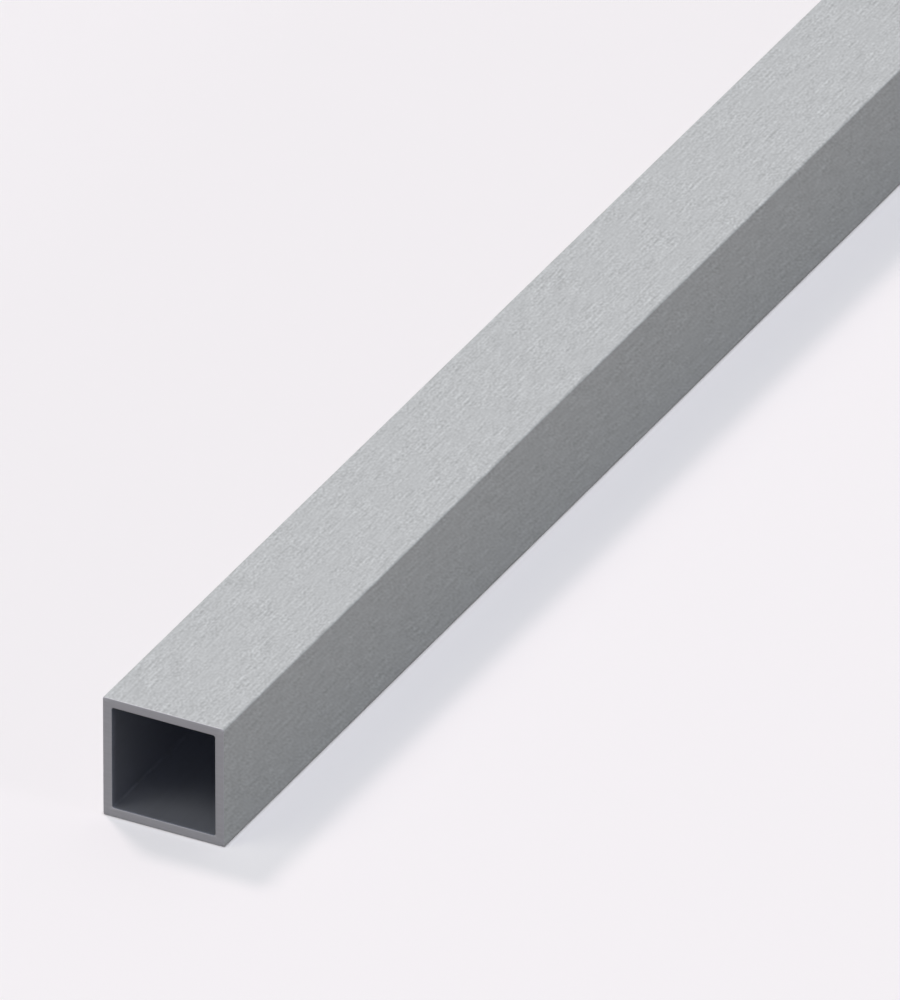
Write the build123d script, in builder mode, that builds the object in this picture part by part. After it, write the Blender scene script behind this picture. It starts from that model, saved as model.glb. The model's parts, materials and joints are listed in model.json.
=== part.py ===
"""Square aluminium tube, 20 x 20 x 1.5 mm, in the 1 m length that it is sold in.

The tube is extruded in one piece through a die, so it is one solid in one node. It lies
along X on its bottom wall, with the origin under its middle and +Z up.
"""

import os

from build123d import *

# Driving dimensions, in millimetres.
outer_width = 20.0  # across the flats, the same both ways
wall_thickness = 1.5
stock_length = 1000.0
outer_corner_radius = 0.3  # the crisp outside corner that the die leaves
bore_corner_radius = 0.4  # the softer corner inside the bore
end_edge_break = 0.15  # burr taken off the sawn ends, round the outside and round the bore

# Sizes that follow from them.
bore_width = outer_width - 2 * wall_thickness
section_centre = (0, outer_width / 2)  # on the YZ plane, so that the bottom wall is at Z 0


with BuildPart() as square_tube:
    # The die's section: a square bore in a square, each with its own corner radius.
    with BuildSketch(Plane.YZ.offset(-stock_length / 2)) as die_section:
        with Locations(section_centre):
            RectangleRounded(outer_width, outer_width, outer_corner_radius)
            RectangleRounded(bore_width, bore_width, bore_corner_radius, mode=Mode.SUBTRACT)
    extrude(amount=stock_length)

    # Both sawn ends, with the burr broken off along every edge.
    sawn_ends = square_tube.faces().filter_by(Axis.X)
    chamfer(sawn_ends.edges(), end_edge_break)

square_tube.part.label = "square_tube"

os.makedirs("parts", exist_ok=True)
export_step(square_tube.part, "parts/square_tube.step")
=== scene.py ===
"""Square aluminium tube: its satin faces, sawn ends and bore, and the studio that it lies in.

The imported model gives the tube's size and place. The tube is modelled again as a clean mesh
with its finishes, in metres, along X with +Z up, and it lies on a pale floor in soft light.
"""

import json
import math

import bmesh
import bpy
from bpy.props import FloatProperty, FloatVectorProperty, IntProperty, PointerProperty
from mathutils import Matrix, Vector


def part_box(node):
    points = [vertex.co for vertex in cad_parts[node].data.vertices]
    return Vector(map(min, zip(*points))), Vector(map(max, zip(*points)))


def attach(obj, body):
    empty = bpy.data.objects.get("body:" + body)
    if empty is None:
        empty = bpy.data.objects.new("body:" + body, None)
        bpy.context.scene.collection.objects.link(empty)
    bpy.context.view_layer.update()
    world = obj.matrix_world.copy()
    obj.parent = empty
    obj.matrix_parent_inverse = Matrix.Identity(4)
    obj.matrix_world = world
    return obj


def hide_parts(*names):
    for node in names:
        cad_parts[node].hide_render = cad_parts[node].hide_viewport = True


bl_info = {
    "name": "Square Aluminium Tube",
    "version": (1, 0, 0),
    "blender": (4, 5, 0),
    "location": "View3D > Sidebar > Tube",
    "description": "Models a length of square aluminium tube and the studio that it lies in",
    "category": "Object",
}

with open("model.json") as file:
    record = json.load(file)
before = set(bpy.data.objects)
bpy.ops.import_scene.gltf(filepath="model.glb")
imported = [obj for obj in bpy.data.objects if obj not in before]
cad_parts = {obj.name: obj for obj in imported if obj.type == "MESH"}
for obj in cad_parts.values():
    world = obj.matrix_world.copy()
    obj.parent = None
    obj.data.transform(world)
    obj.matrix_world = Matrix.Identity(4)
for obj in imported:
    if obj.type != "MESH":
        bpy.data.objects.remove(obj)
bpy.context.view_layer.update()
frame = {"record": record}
tube_low, tube_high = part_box("square_tube")

MOUNTS = {mount["name"]: Vector(mount["pos_m"]) for mount in frame["record"]["mounts"]}
END_FACING = 0.7  # a face belongs to an end where its normal is along the tube by more
ENDS, BORE = 1, 2  # where these finishes stand in the tube's list, after the outside's
ROUND = 0.5  # the bevel profile that makes a circle's arc
LARGE_FACES_FIRST = 100  # weight for the corner shading, of which 50 is neutral
PATTERN_RANGE = (0.25, 0.75)  # where nearly all of a random pattern's values lie
PATTERN_MIDDLE = 0.5
VISIBLE_RANGE = (0.1, 100)  # metres from the camera
AS_WRITTEN = 1.0  # strength at which a background shows its colour as it is written


# ---------------------------------------------------------------- settings


class TubeShape(bpy.types.PropertyGroup):
    """Sizes of the tube's section and of its sawn ends."""

    wall: FloatProperty(
        name="Wall",
        description="Thickness of the tube's four walls",
        default=2 * MOUNTS["sawn_end_plus_x"].z,  # the mount is in the middle of the bottom wall
        unit="LENGTH",
    )
    outer_radius: FloatProperty(
        name="Outer corner radius",
        description="Radius of the four long outside corners",
        default=0.0003,
        unit="LENGTH",
    )
    bore_radius: FloatProperty(
        name="Bore corner radius",
        description="Radius of the four long corners in the bore",
        default=0.0004,
        unit="LENGTH",
    )
    edge_break: FloatProperty(
        name="Edge break",
        description="How far the burr is taken off round the sawn ends, outside and in the bore",
        default=0.00015,
        unit="LENGTH",
    )
    corner_segments: IntProperty(
        name="Corner segments",
        description="Faces round each corner's quarter circle",
        default=6,
    )
    break_segments: IntProperty(
        name="Break segments",
        description="Faces across the broken edge at the ends",
        default=2,
    )
    bays: IntProperty(
        name="Bays",
        description="Equal stretches that the length is extruded in",
        default=50,
    )


class TubeFinish(bpy.types.PropertyGroup):
    """Colours, gloss and grain of the tube's three finishes."""

    face_colour: FloatVectorProperty(
        name="Face colour",
        description="Satin anodised outside faces",
        subtype="COLOR",
        default=(0.46, 0.478, 0.488),
    )
    end_colour: FloatVectorProperty(
        name="Sawn end colour",
        description="Bare metal where the saw went through",
        subtype="COLOR",
        default=(0.657, 0.638, 0.698),
    )
    # The bore's colour is partly dull metal and partly painted shade: it is set darker and bluer
    # than the faces to darken the bore beyond what the lamps give.
    bore_colour_and_shade: FloatVectorProperty(
        name="Bore colour",
        description="Dull metal inside the bore",
        subtype="COLOR",
        default=(0.278, 0.292, 0.359),
    )
    face_metallic: FloatProperty(
        name="Face metallic",
        description="How far the satin layer on the faces reflects as metal",
        default=0.2,
        subtype="FACTOR",
    )
    bare_metallic: FloatProperty(
        name="Bare metallic",
        description="How far the scattered bare metal of the ends and the bore reflects as metal",
        default=0.1,
        subtype="FACTOR",
    )
    face_roughness: FloatProperty(
        name="Face roughness",
        description="Middle roughness of the satin faces",
        default=0.46,
        subtype="FACTOR",
    )
    bare_roughness: FloatProperty(
        name="Bare roughness",
        description="Middle roughness of the sawn ends and of the bore",
        default=0.6,
        subtype="FACTOR",
    )
    roughness_spread: FloatProperty(
        name="Roughness spread",
        description="How much smoother and rougher a finish's own marks make it",
        default=0.06,
        subtype="FACTOR",
    )
    specular: FloatProperty(
        name="Specular",
        description="Strength of the plain gloss beside the metallic share",
        default=0.3,
        subtype="FACTOR",
    )
    grain_length: FloatProperty(
        name="Grain length",
        description="Length of the short streaks along the tube",
        default=0.004,
        unit="LENGTH",
    )
    grain_dash: FloatProperty(
        name="Grain dash",
        description="Length of the dashes that break up the streaks",
        default=0.0006,
        unit="LENGTH",
    )
    patch_length: FloatProperty(
        name="Patch length",
        description="Length of the patches in which the grain is stronger and weaker",
        default=0.005,
        unit="LENGTH",
    )
    patch_width: FloatProperty(
        name="Patch width",
        description="Width of those patches",
        default=0.003,
        unit="LENGTH",
    )
    weakest_grain: FloatProperty(
        name="Weakest grain",
        description="Strength of the grain in the weakest patches",
        default=0.33,
        subtype="FACTOR",
    )
    dash_share: FloatProperty(
        name="Dash share",
        description="Share of the dashes in the grain",
        default=0.57,
        subtype="FACTOR",
    )
    grain_contrast: FloatProperty(
        name="Grain contrast",
        description="How much lighter and darker the grain makes the faces",
        default=0.255,
        subtype="FACTOR",
    )
    grain_lines: IntProperty(
        name="Grain lines",
        description="Streaks side by side across the top and the bottom, an even number",
        default=46,
    )
    side_grain_lines: IntProperty(
        name="Side grain lines",
        description="Streaks one above another up the two sides",
        default=28,
    )
    streak_step: FloatVectorProperty(
        name="Streak step",
        description="Lengths that each line of streaks starts before the last, across and up",
        size=2,
        default=(-0.2, 0.3),
    )
    dash_step: FloatVectorProperty(
        name="Dash step",
        description="Lengths that each line of dashes starts before the last, across and up",
        size=2,
        default=(-0.25, 1.3),
    )
    saw_mark_length: FloatProperty(
        name="Saw mark length",
        description="Length of the faint marks that the saw leaves across the ends",
        default=0.004,
        unit="LENGTH",
    )
    saw_mark_width: FloatProperty(
        name="Saw mark width",
        description="Width of the saw marks",
        default=0.0004,
        unit="LENGTH",
    )
    saw_contrast: FloatProperty(
        name="Saw mark contrast",
        description="How much lighter and darker the saw marks make the ends",
        default=0.05,
        subtype="FACTOR",
    )
    die_line_length: FloatProperty(
        name="Die line length",
        description="Length of the lines that the die leaves along the bore",
        default=0.033,
        unit="LENGTH",
    )
    die_line_width: FloatProperty(
        name="Die line width",
        description="Width of the die lines",
        default=0.0006,
        unit="LENGTH",
    )
    die_contrast: FloatProperty(
        name="Die line contrast",
        description="How much lighter and darker the die lines make the bore",
        default=0.04,
        subtype="FACTOR",
    )
    relief: FloatProperty(
        name="Relief",
        description="Height of every finish's marks",
        default=0.00002,
        unit="LENGTH",
    )
    relief_strength: FloatProperty(
        name="Relief strength",
        description="How strongly the relief catches the light",
        default=0.2,
        subtype="FACTOR",
    )


class StudioSettings(bpy.types.PropertyGroup):
    """The floor, the light and the camera."""

    floor_colour: FloatVectorProperty(
        name="Floor colour",
        description="Pale floor and what is seen beyond it",
        subtype="COLOR",
        default=(0.905, 0.877, 0.905),
    )
    bounce_colour: FloatVectorProperty(
        name="Bounce colour",
        description="How much of its light the floor throws back up at the tube",
        subtype="COLOR",
        default=(0.1, 0.095, 0.075),
    )
    floor_size: FloatProperty(
        name="Floor size",
        description="Side of the square floor",
        default=40.0,
        unit="LENGTH",
    )
    ambient_colour: FloatVectorProperty(
        name="Ambient colour",
        description="Even light from all round",
        subtype="COLOR",
        default=(0.956, 1.0, 0.952),
    )
    ambient_strength: FloatProperty(
        name="Ambient strength",
        description="Strength of the even light",
        default=0.207,
    )
    key_colour: FloatVectorProperty(
        name="Key colour",
        description="Warm light from behind the tube",
        subtype="COLOR",
        default=(1.0, 0.85, 0.823),
    )
    key_strength: FloatProperty(
        name="Key strength",
        description="Strength of the light from behind the tube",
        default=0.7,
    )
    key_shift: FloatVectorProperty(
        name="Key shadow shift",
        description="How far the key light throws the shadow of the tube's top edge",
        default=(-0.0075, -0.0107, 0.0),
        subtype="TRANSLATION",
    )
    key_size: FloatProperty(
        name="Key size",
        description="Angle that the key light spans, which softens the shadow's edge",
        default=math.radians(10),
        subtype="ANGLE",
    )
    fill_colour: FloatVectorProperty(
        name="Fill colour",
        description="Cool light from straight above",
        subtype="COLOR",
        default=(0.906, 0.944, 1.0),
    )
    fill_strength: FloatProperty(
        name="Fill strength",
        description="Strength of the light from above",
        default=1.596,
    )
    fill_shift: FloatVectorProperty(
        name="Fill shadow shift",
        description="How far the fill light throws the shadow of the tube's top edge",
        default=(0.0, 0.0, 0.0),
        subtype="TRANSLATION",
    )
    fill_size: FloatProperty(
        name="Fill size",
        description="Angle that the fill light spans",
        default=math.radians(3),
        subtype="ANGLE",
    )
    front_colour: FloatVectorProperty(
        name="Front colour",
        description="Weak warm light from the near end, its shadow edge in line with the key's",
        subtype="COLOR",
        default=(1.0, 0.97, 0.83),
    )
    front_strength: FloatProperty(
        name="Front strength",
        description="Strength of the front light",
        default=0.323,
    )
    front_shift: FloatVectorProperty(
        name="Front shadow shift",
        description="How far the front light throws the shadow of the tube's top edge",
        default=(0.01, -0.0107, 0.0),
        subtype="TRANSLATION",
    )
    front_size: FloatProperty(
        name="Front size",
        description="Angle that the front light spans",
        default=math.radians(28),
        subtype="ANGLE",
    )
    mouth_colour: FloatVectorProperty(
        name="Mouth colour",
        description="Weak light into the mouth of the bore",
        subtype="COLOR",
        default=(1.0, 0.962, 0.845),
    )
    mouth_strength: FloatProperty(
        name="Mouth strength",
        description="Strength of the light into the bore's mouth",
        default=0.121,
    )
    mouth_shift: FloatVectorProperty(
        name="Mouth shadow shift",
        description="How far the mouth light throws the shadow of the tube's top edge",
        default=(0.0081, 0.003, 0.0),
        subtype="TRANSLATION",
    )
    mouth_size: FloatProperty(
        name="Mouth size",
        description="Angle that the mouth light spans",
        default=math.radians(20),
        subtype="ANGLE",
    )
    low_colour: FloatVectorProperty(
        name="Low colour",
        description="Low light on the near sawn end and deep into the bore",
        subtype="COLOR",
        default=(0.788, 0.863, 1.0),
    )
    low_strength: FloatProperty(
        name="Low strength",
        description="Strength of the low light",
        default=0.284,
    )
    low_shift: FloatVectorProperty(
        name="Low shadow shift",
        description="How far the low light throws the shadow of the tube's top edge",
        default=(0.1, 0.013, 0.0),
        subtype="TRANSLATION",
    )
    low_size: FloatProperty(
        name="Low size",
        description="Angle that the low light spans",
        default=math.radians(10),
        subtype="ANGLE",
    )
    side_colour: FloatVectorProperty(
        name="Side colour",
        description="Low even light on the near side",
        subtype="COLOR",
        default=(0.95, 0.947, 1.0),
    )
    side_strength: FloatProperty(
        name="Side strength",
        description="Strength of the light on the near side",
        default=0.507,
    )
    side_shift: FloatVectorProperty(
        name="Side shadow shift",
        description="How far the side light throws the shadow of the tube's top edge",
        default=(0.0, 0.12, 0.0),
        subtype="TRANSLATION",
    )
    side_size: FloatProperty(
        name="Side size",
        description="Angle that the side light spans",
        default=math.radians(10),
        subtype="ANGLE",
    )
    camera_heading: FloatProperty(
        name="Camera heading",
        description="Angle between the camera's view and the tube's length, seen from above",
        default=math.radians(27.78),
        subtype="ANGLE",
    )
    camera_elevation: FloatProperty(
        name="Camera elevation",
        description="How far the camera looks down",
        default=math.radians(30.94),
        subtype="ANGLE",
    )
    aim_from_end: FloatProperty(
        name="Aim from end",
        description="How far along the tube from its near end the camera aims",
        default=0.08943,
        unit="LENGTH",
    )
    aim_height: FloatProperty(
        name="Aim height",
        description="How far above the floor the camera aims",
        default=0.00869,
        unit="LENGTH",
    )
    view_span: FloatProperty(
        name="View span",
        description="Length that the frame's long side spans where the camera aims",
        default=0.1471,
        unit="LENGTH",
    )
    lens: FloatProperty(
        name="Lens",
        description="Focal length in millimetres, long enough that parallel edges stay parallel",
        default=1500.0,
    )


# ---------------------------------------------------------------- materials


def add_node(tree, kind, place, **settings):
    """Adds a shader node at a place on the sheet, with its own settings."""
    node = tree.nodes.new(kind)
    node.location = place
    for name, value in settings.items():
        setattr(node, name, value)
    return node


def new_material(name, metallic, specular):
    """A material with only its Principled shader, to which a finish adds its pattern."""
    material = bpy.data.materials.new(name)
    material.use_nodes = True
    shader = material.node_tree.nodes["Principled BSDF"]
    shader.inputs["Metallic"].default_value = metallic
    shader.inputs["Specular IOR Level"].default_value = specular
    return material, material.node_tree, shader


def step_along(tree, place, vector, step):
    """Slides a pattern along the tube from line to line, so that its marks don't line up."""
    x, y = place
    slide = add_node(tree, "ShaderNodeVectorMath", (x, y - 200), operation="DOT_PRODUCT")
    slide.inputs[1].default_value = (0, *step)
    along = add_node(tree, "ShaderNodeCombineXYZ", (x + 200, y - 200))
    slid = add_node(tree, "ShaderNodeVectorMath", (x + 400, y), operation="ADD")
    tree.links.new(vector, slide.inputs[0])
    tree.links.new(slide.outputs["Value"], along.inputs["X"])
    tree.links.new(vector, slid.inputs[0])
    tree.links.new(along.outputs["Vector"], slid.inputs[1])
    return slid.outputs["Vector"]


def marks(tree, place, size, detail, step=None):
    """A random pattern on the piece's own coordinates, its marks' size given for each axis.

    The detail is how many finer patterns are laid over it. The step is for lines of marks.
    """
    x, y = place
    coordinates = add_node(tree, "ShaderNodeTexCoord", (x, y))
    mapping = add_node(tree, "ShaderNodeMapping", (x + 200, y))
    mapping.inputs["Scale"].default_value = [1 / length for length in size]
    tree.links.new(coordinates.outputs["Object"], mapping.inputs["Vector"])
    vector = mapping.outputs["Vector"]
    if step:
        vector = step_along(tree, (x + 400, y), vector, step)
    noise = add_node(tree, "ShaderNodeTexNoise", (x + 1000, y))
    noise.inputs["Scale"].default_value = 1.0  # the mapping gives the marks their size
    noise.inputs["Detail"].default_value = detail
    tree.links.new(vector, noise.inputs["Vector"])
    return noise.outputs["Fac"]


def spread(tree, place, pattern, low, high):
    """Maps a random pattern to run from low to high."""
    node = add_node(tree, "ShaderNodeMapRange", place, clamp=True)
    node.inputs["From Min"].default_value = PATTERN_RANGE[0]
    node.inputs["From Max"].default_value = PATTERN_RANGE[1]
    node.inputs["To Min"].default_value = low
    node.inputs["To Max"].default_value = high
    tree.links.new(pattern, node.inputs["Value"])
    return node.outputs["Result"]


def blend(tree, place, first, second, share):
    """Adds two patterns in shares, the second one's share given."""
    node = add_node(tree, "ShaderNodeMix", place, data_type="FLOAT")
    node.inputs["Factor"].default_value = share
    tree.links.new(first, node.inputs["A"])
    tree.links.new(second, node.inputs["B"])
    return node.outputs["Result"]


def fade_to_even(tree, place, pattern, strength):
    """A pattern that fades to its even middle where the strength is low."""
    node = add_node(tree, "ShaderNodeMix", place, data_type="FLOAT")
    node.inputs["A"].default_value = PATTERN_MIDDLE
    tree.links.new(strength, node.inputs["Factor"])
    tree.links.new(pattern, node.inputs["B"])
    return node.outputs["Result"]


def mark_surface(tree, shader, finish, pattern, colour, contrast, roughness):
    """Lets one pattern vary a surface's colour, roughness and height together."""
    tone = spread(tree, (-700, 300), pattern, 1 - contrast, 1 + contrast)
    toned = add_node(tree, "ShaderNodeVectorMath", (-450, 300), operation="SCALE")
    toned.inputs[0].default_value = colour
    tree.links.new(tone, toned.inputs["Scale"])
    tree.links.new(toned.outputs["Vector"], shader.inputs["Base Color"])
    smoothest = roughness - finish.roughness_spread
    roughest = roughness + finish.roughness_spread
    tree.links.new(
        spread(tree, (-700, 0), pattern, smoothest, roughest), shader.inputs["Roughness"]
    )
    bump = add_node(tree, "ShaderNodeBump", (-250, -300))
    bump.inputs["Strength"].default_value = finish.relief_strength
    bump.inputs["Distance"].default_value = finish.relief
    tree.links.new(pattern, bump.inputs["Height"])
    tree.links.new(bump.outputs["Normal"], shader.inputs["Normal"])


def satin_face_material(finish):
    """The outside faces: satin aluminium with patches of short streaks along the tube."""
    material, tree, shader = new_material(
        "satin aluminium faces", finish.face_metallic, finish.specular
    )
    # Whole streaks over the width and height keep the faces on whole steps of the pattern,
    # where it has no broad blotches.
    size = tube_high - tube_low
    across = size.y / finish.grain_lines
    up = size.z / finish.side_grain_lines
    wide = finish.patch_width
    streaks = marks(
        tree,
        (-2400, 600),
        (finish.grain_length, across, up),
        detail=0,
        step=tuple(finish.streak_step),
    )
    dashes = marks(
        tree,
        (-2400, 200),
        (finish.grain_dash, across, up),
        detail=0,
        step=tuple(finish.dash_step),
    )
    patches = marks(tree, (-2400, -200), (finish.patch_length, wide, wide), detail=1)
    grain = blend(tree, (-1150, 400), streaks, dashes, finish.dash_share)
    strength = spread(tree, (-1150, 0), patches, finish.weakest_grain, 1)
    grain = fade_to_even(tree, (-950, 200), grain, strength)
    mark_surface(
        tree,
        shader,
        finish,
        grain,
        finish.face_colour,
        finish.grain_contrast,
        finish.face_roughness,
    )
    return material


def sawn_end_material(finish):
    """The ends: flat bare metal with the faint level marks of a fine saw."""
    material, tree, shader = new_material(
        "sawn aluminium ends", finish.bare_metallic, finish.specular
    )
    long = finish.saw_mark_length
    saw_marks = marks(tree, (-2000, 200), (long, long, finish.saw_mark_width), detail=2)
    mark_surface(
        tree,
        shader,
        finish,
        saw_marks,
        finish.end_colour,
        finish.saw_contrast,
        finish.bare_roughness,
    )
    return material


def bore_material(finish):
    """The bore: dull metal, as it leaves the die, with faint lines along it, and a darker, bluer
    colour than the faces that paints the bore's shade.
    """
    material, tree, shader = new_material(
        "dull aluminium bore", finish.bare_metallic, finish.specular
    )
    narrow = finish.die_line_width
    die_lines = marks(tree, (-2000, 200), (finish.die_line_length, narrow, narrow), detail=2)
    mark_surface(
        tree,
        shader,
        finish,
        die_lines,
        finish.bore_colour_and_shade,
        finish.die_contrast,
        finish.bare_roughness,
    )
    return material


# ---------------------------------------------------------------- the tube


def select_edges(wanted):
    """Selects only the mesh's edges for which wanted is true."""
    bpy.ops.mesh.select_mode(type="EDGE")
    bpy.ops.mesh.select_all(action="DESELECT")
    mesh = bmesh.from_edit_mesh(bpy.context.edit_object.data)
    chosen = [edge for edge in mesh.edges if wanted(edge)]
    if not chosen:
        raise RuntimeError("no such edge to select")
    for edge in chosen:
        edge.select_set(True)
    mesh.select_flush_mode()
    bmesh.update_edit_mesh(bpy.context.edit_object.data)


def add_square(width):
    """Adds a square in the near end's plane, centred on the tube."""
    bpy.ops.mesh.primitive_plane_add(
        size=width,
        location=(tube_low.x, 0, (tube_low.z + tube_high.z) / 2),
        rotation=(0, math.radians(90), 0),
    )


def round_corners(radius, segments):
    """Rounds the corners of the square that is selected in the mesh."""
    bpy.ops.mesh.bevel(offset=radius, segments=segments, affect="VERTICES", profile=ROUND)


def is_end_edge(edge):
    """True for an edge of a sawn end's outline, outside or round the bore."""
    if len(edge.link_faces) != 2:
        return False
    at_end = [abs(face.normal.x) > END_FACING for face in edge.link_faces]
    return at_end[0] != at_end[1]


def model_tube(shape):
    """Models the tube as it is made: the die's section, extruded, then sawn and deburred."""
    bpy.ops.object.select_all(action="DESELECT")
    width = tube_high.y - tube_low.y
    add_square(width)
    tube = bpy.context.object
    tube.name = tube.data.name = "tube"
    bpy.ops.object.transform_apply(location=True, rotation=True, scale=True)

    # The section is the ring between two squares with rounded corners.
    bpy.ops.object.mode_set(mode="EDIT")
    bpy.ops.mesh.select_all(action="SELECT")
    round_corners(shape.outer_radius, shape.corner_segments)
    bpy.ops.mesh.select_all(action="DESELECT")
    add_square(width - 2 * shape.wall)
    round_corners(shape.bore_radius, shape.corner_segments)
    bpy.ops.mesh.select_all(action="SELECT")
    bpy.ops.mesh.delete(type="ONLY_FACE")
    bpy.ops.mesh.select_all(action="SELECT")
    bpy.ops.mesh.bridge_edge_loops()

    # The section is drawn out to the tube's length, bay by bay.
    bay = (tube_high.x - tube_low.x) / shape.bays
    bpy.ops.mesh.select_all(action="SELECT")
    for _ in range(shape.bays):
        bpy.ops.mesh.extrude_region_move(TRANSFORM_OT_translate={"value": (bay, 0, 0)})
    bpy.ops.mesh.select_all(action="SELECT")
    bpy.ops.mesh.normals_make_consistent(inside=False)

    # The burr is taken off round both ends, outside and in the bore.
    select_edges(is_end_edge)
    bpy.ops.mesh.bevel(
        offset=shape.edge_break,
        segments=shape.break_segments,
        affect="EDGES",
        profile=ROUND,
        clamp_overlap=True,
    )
    bpy.ops.object.mode_set(mode="OBJECT")
    return tube


def assign_finishes(tube, shape, finish):
    """Gives the outside, the sawn ends and the bore their own finishes, by place."""
    for material in (
        satin_face_material(finish),
        sawn_end_material(finish),
        bore_material(finish),
    ):
        tube.data.materials.append(material)
    wall_middle = (tube_high.y - tube_low.y - shape.wall) / 2  # from the tube's axis
    axis_height = (tube_low.z + tube_high.z) / 2
    for face in tube.data.polygons:
        y, z = abs(face.center.y), abs(face.center.z - axis_height)
        if abs(face.normal.x) > END_FACING:
            face.material_index = ENDS
        elif max(y, z) < wall_middle:
            # The bore's faces take the bore colour, which is partly painted shade.
            face.material_index = BORE


def smooth_corners(tube):
    """Smooth shading on the rounded corners that leaves the flat faces flat."""
    bpy.ops.object.shade_smooth()
    weighting = tube.modifiers.new("flat faces first", "WEIGHTED_NORMAL")
    weighting.mode = "FACE_AREA"
    weighting.weight = LARGE_FACES_FIRST
    bpy.ops.object.modifier_apply(modifier=weighting.name)


class TUBE_OT_model_tube(bpy.types.Operator):
    """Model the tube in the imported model's place, with its finishes"""

    bl_idname = "tube.model_tube"
    bl_label = "Model Tube"
    bl_options = {"REGISTER", "UNDO"}

    def execute(self, context):
        shape, finish = context.scene.tube_shape, context.scene.tube_finish
        tube = model_tube(shape)
        assign_finishes(tube, shape, finish)
        smooth_corners(tube)
        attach(tube, "root")
        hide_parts("square_tube")
        return {"FINISHED"}


# ---------------------------------------------------------------- the studio


def show_pale(tree, unseen, seen, output):
    """Shows one shader to the camera, gloss and glass, and gives all other rays the other one."""
    rays = add_node(tree, "ShaderNodeLightPath", (-600, 300))
    camera_or_gloss = add_node(tree, "ShaderNodeMath", (-400, 300), operation="MAXIMUM")
    camera_gloss_or_glass = add_node(tree, "ShaderNodeMath", (-200, 300), operation="MAXIMUM")
    mix = add_node(tree, "ShaderNodeMixShader", (0, 0))
    links = tree.links
    links.new(rays.outputs["Is Camera Ray"], camera_or_gloss.inputs[0])
    links.new(rays.outputs["Is Glossy Ray"], camera_or_gloss.inputs[1])
    links.new(camera_or_gloss.outputs["Value"], camera_gloss_or_glass.inputs[0])
    links.new(rays.outputs["Is Transmission Ray"], camera_gloss_or_glass.inputs[1])
    links.new(camera_gloss_or_glass.outputs["Value"], mix.inputs["Fac"])
    links.new(unseen, mix.inputs[1])
    links.new(seen, mix.inputs[2])
    links.new(mix.outputs["Shader"], output.inputs["Surface"])


def add_floor(studio):
    """A pale floor under the tube, which throws only some of its light back up."""
    bpy.ops.object.select_all(action="DESELECT")
    bpy.ops.mesh.primitive_plane_add(size=studio.floor_size, location=(0, 0, tube_low.z))
    floor = bpy.context.object
    floor.name = "floor"
    material = bpy.data.materials.new("pale floor")
    material.use_nodes = True
    tree = material.node_tree
    tree.nodes.clear()
    bounce = add_node(tree, "ShaderNodeBsdfDiffuse", (-300, 0))
    bounce.inputs["Color"].default_value = (*studio.bounce_colour, 1)
    pale = add_node(tree, "ShaderNodeBsdfDiffuse", (-300, -200))
    pale.inputs["Color"].default_value = (*studio.floor_colour, 1)
    output = add_node(tree, "ShaderNodeOutputMaterial", (200, 0))
    show_pale(tree, bounce.outputs["BSDF"], pale.outputs["BSDF"], output)
    floor.data.materials.append(material)


def add_sun(name, colour, strength, size, shadow_shift):
    """A distant lamp, aimed by how far it throws the shadow of the tube's top edge."""
    lamp = bpy.data.lights.new(name, "SUN")
    lamp.color = colour
    lamp.energy = strength
    lamp.angle = size
    sun = bpy.data.objects.new(name, lamp)
    towards_sun = Vector((0, 0, tube_high.z - tube_low.z)) - Vector(shadow_shift)
    sun.rotation_mode = "QUATERNION"
    sun.rotation_quaternion = towards_sun.to_track_quat("Z", "Y")
    bpy.context.scene.collection.objects.link(sun)


def add_lights(studio):
    """A warm key from behind, a cool fill from above, and weaker lights from the other sides."""
    for name in ("key", "fill", "front", "mouth", "low", "side"):
        colour, strength, size, shift = (
            getattr(studio, f"{name}_{part}") for part in ("colour", "strength", "size", "shift")
        )
        add_sun(name, colour, strength, size, shift)


def add_world(studio):
    """Even light from all round, with the floor's colour where the floor ends."""
    world = bpy.data.worlds.new("studio")
    bpy.context.scene.world = world
    world.use_nodes = True
    tree = world.node_tree
    ambient = tree.nodes["Background"]
    ambient.inputs["Color"].default_value = (*studio.ambient_colour, 1)
    ambient.inputs["Strength"].default_value = studio.ambient_strength
    backdrop = add_node(tree, "ShaderNodeBackground", (-300, -200))
    backdrop.inputs["Color"].default_value = (*studio.floor_colour, 1)
    backdrop.inputs["Strength"].default_value = AS_WRITTEN
    show_pale(
        tree,
        ambient.outputs["Background"],
        backdrop.outputs["Background"],
        tree.nodes["World Output"],
    )


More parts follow.
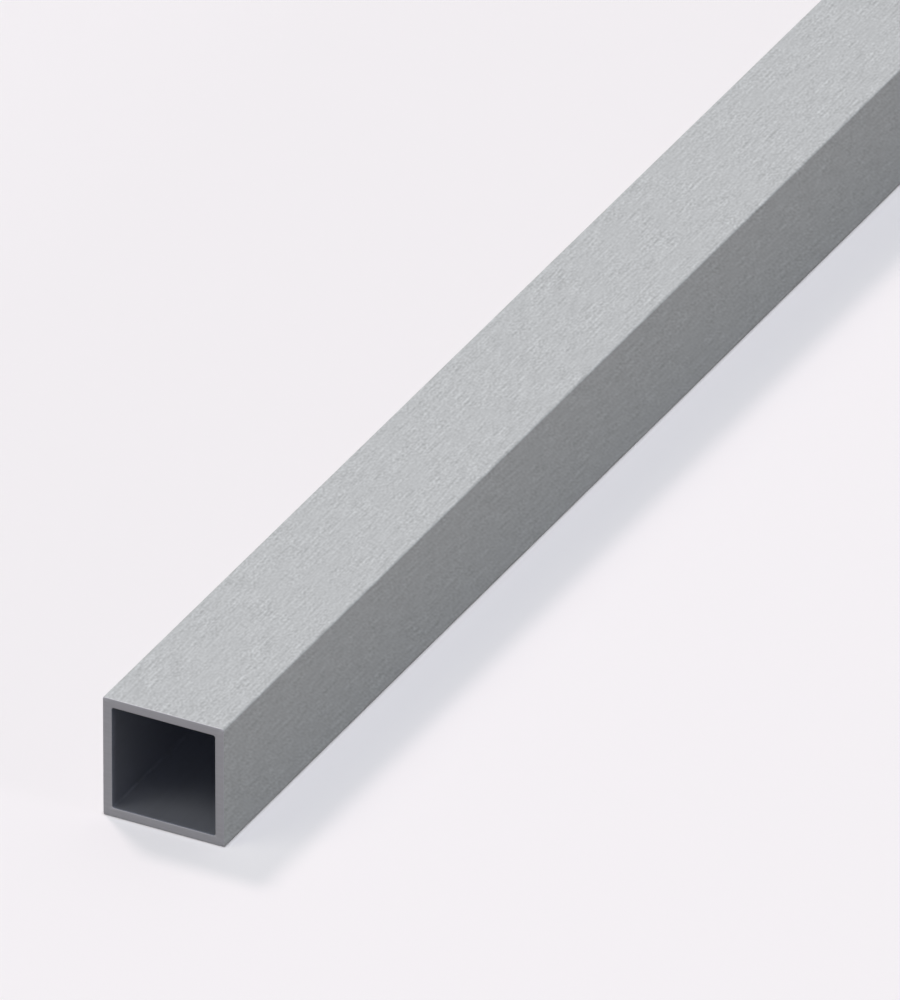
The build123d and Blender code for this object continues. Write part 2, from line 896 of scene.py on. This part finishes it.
def add_camera(studio):
    """A camera far off with a very long lens, which looks down along the tube."""
    camera_data = bpy.data.cameras.new("camera")
    camera_data.lens = studio.lens
    camera_data.clip_start, camera_data.clip_end = VISIBLE_RANGE
    camera = bpy.data.objects.new("camera", camera_data)
    bpy.context.scene.collection.objects.link(camera)
    bpy.context.scene.camera = camera
    aim = Vector((tube_low.x + studio.aim_from_end, 0, tube_low.z + studio.aim_height))
    level = math.cos(studio.camera_elevation)
    back = Vector(
        (
            -math.cos(studio.camera_heading) * level,
            -math.sin(studio.camera_heading) * level,
            math.sin(studio.camera_elevation),
        )
    )
    distance = studio.view_span * studio.lens / camera_data.sensor_width
    camera.location = aim + back * distance
    camera.rotation_mode = "QUATERNION"
    camera.rotation_quaternion = back.to_track_quat("Z", "Y")


class TUBE_OT_set_studio(bpy.types.Operator):
    """Lay the pale floor, set the soft lights and place the camera"""

    bl_idname = "tube.set_studio"
    bl_label = "Set Studio"
    bl_options = {"REGISTER", "UNDO"}

    def execute(self, context):
        studio = context.scene.tube_studio
        add_floor(studio)
        add_lights(studio)
        add_world(studio)
        add_camera(studio)
        context.scene.view_settings.view_transform = "Standard"
        return {"FINISHED"}


# ---------------------------------------------------------------- the add-on


class TUBE_PT_panel(bpy.types.Panel):
    """Lists the steps that build the tube and its studio"""

    bl_idname = "TUBE_PT_panel"
    bl_label = "Square Tube"
    bl_space_type = "VIEW_3D"
    bl_region_type = "UI"
    bl_category = "Tube"

    def draw(self, context):
        layout = self.layout
        for group in ("tube_shape", "tube_finish", "tube_studio"):
            settings = getattr(context.scene, group)
            column = layout.column()
            for name in type(settings).__annotations__:
                column.prop(settings, name)
        for step in STEPS:
            layout.operator(step.bl_idname)


STEPS = (TUBE_OT_model_tube, TUBE_OT_set_studio)
SETTINGS = {
    "tube_shape": TubeShape,
    "tube_finish": TubeFinish,
    "tube_studio": StudioSettings,
}
CLASSES = (*SETTINGS.values(), *STEPS, TUBE_PT_panel)


def register():
    for cls in CLASSES:
        bpy.utils.register_class(cls)
    for name, group in SETTINGS.items():
        setattr(bpy.types.Scene, name, PointerProperty(type=group))


def unregister():
    for name in SETTINGS:
        delattr(bpy.types.Scene, name)
    for cls in reversed(CLASSES):
        bpy.utils.unregister_class(cls)


def main():
    register()
    bpy.ops.tube.model_tube()
    bpy.ops.tube.set_studio()


if __name__ == "__main__":
    main()
